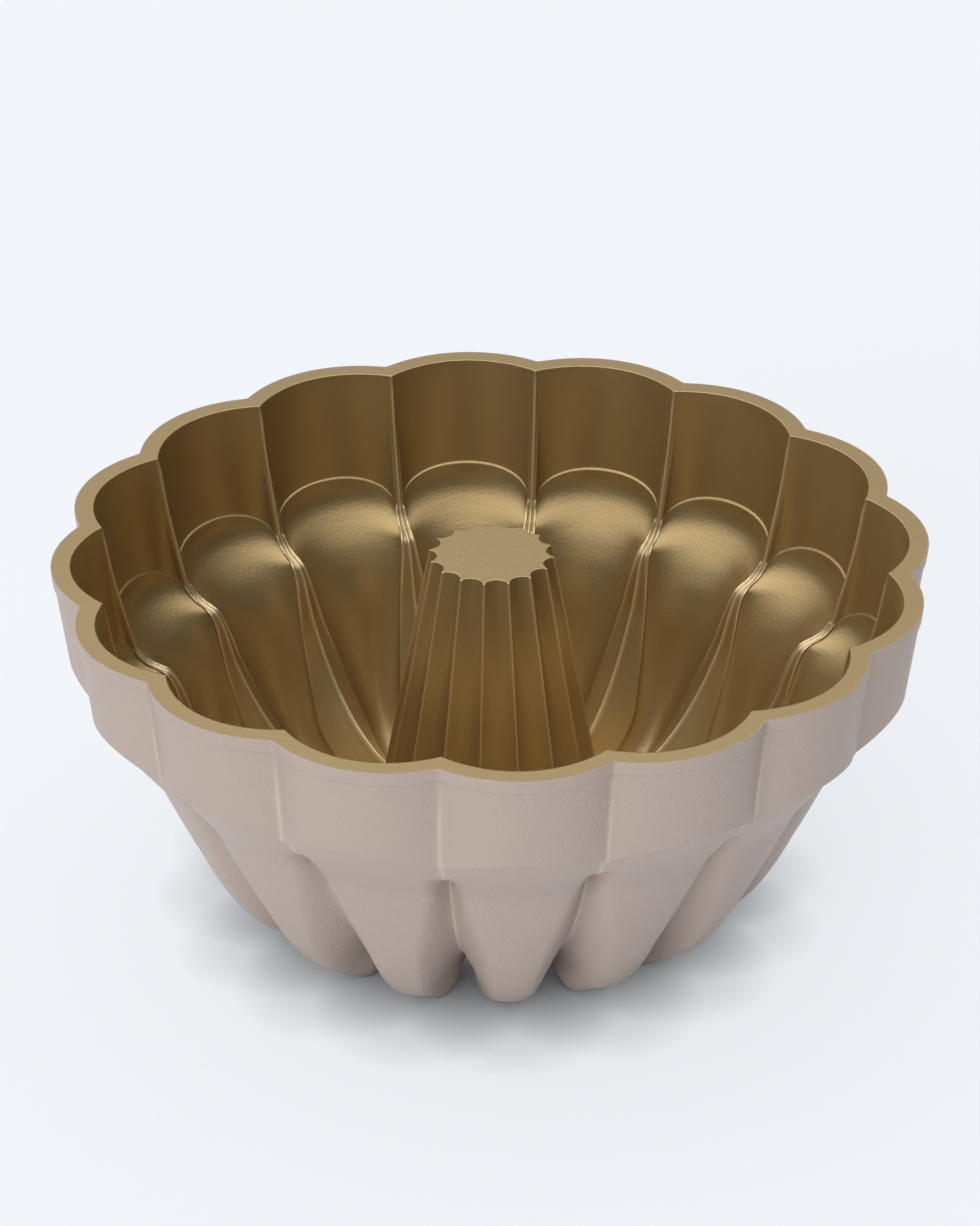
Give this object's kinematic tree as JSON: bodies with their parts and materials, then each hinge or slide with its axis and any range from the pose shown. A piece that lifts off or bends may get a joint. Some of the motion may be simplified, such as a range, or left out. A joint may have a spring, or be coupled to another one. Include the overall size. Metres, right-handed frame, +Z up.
{
  "type": "kugelhopf mould",
  "caption": "Scalloped ring cake mould of cast aluminium with petal-shaped pockets, a fluted centre cone, a non-stick lining and a coated outside.",
  "frame": {"origin": "middle of the ring of petal tips, on the plane the mould stands on", "axes": "+Z up along the cone to the open rim; +X through the middle of one lobe; +Y completes a right-handed frame"},
  "size_m": [0.249, 0.249, 0.112],
  "materials": {
    "cast_aluminium": "raw casting, seen only on the small flats under the petal tips",
    "gold_lining": "satin golden non-stick coat with a fine grain",
    "champagne_coat": "satin pale rose-champagne coat with a fine grain"
  },
  "bodies": {
    "root": {"cast_body": "cast_aluminium", "nonstick_lining": "gold_lining", "outer_coat": "champagne_coat"}
  },
  "joints": []
}
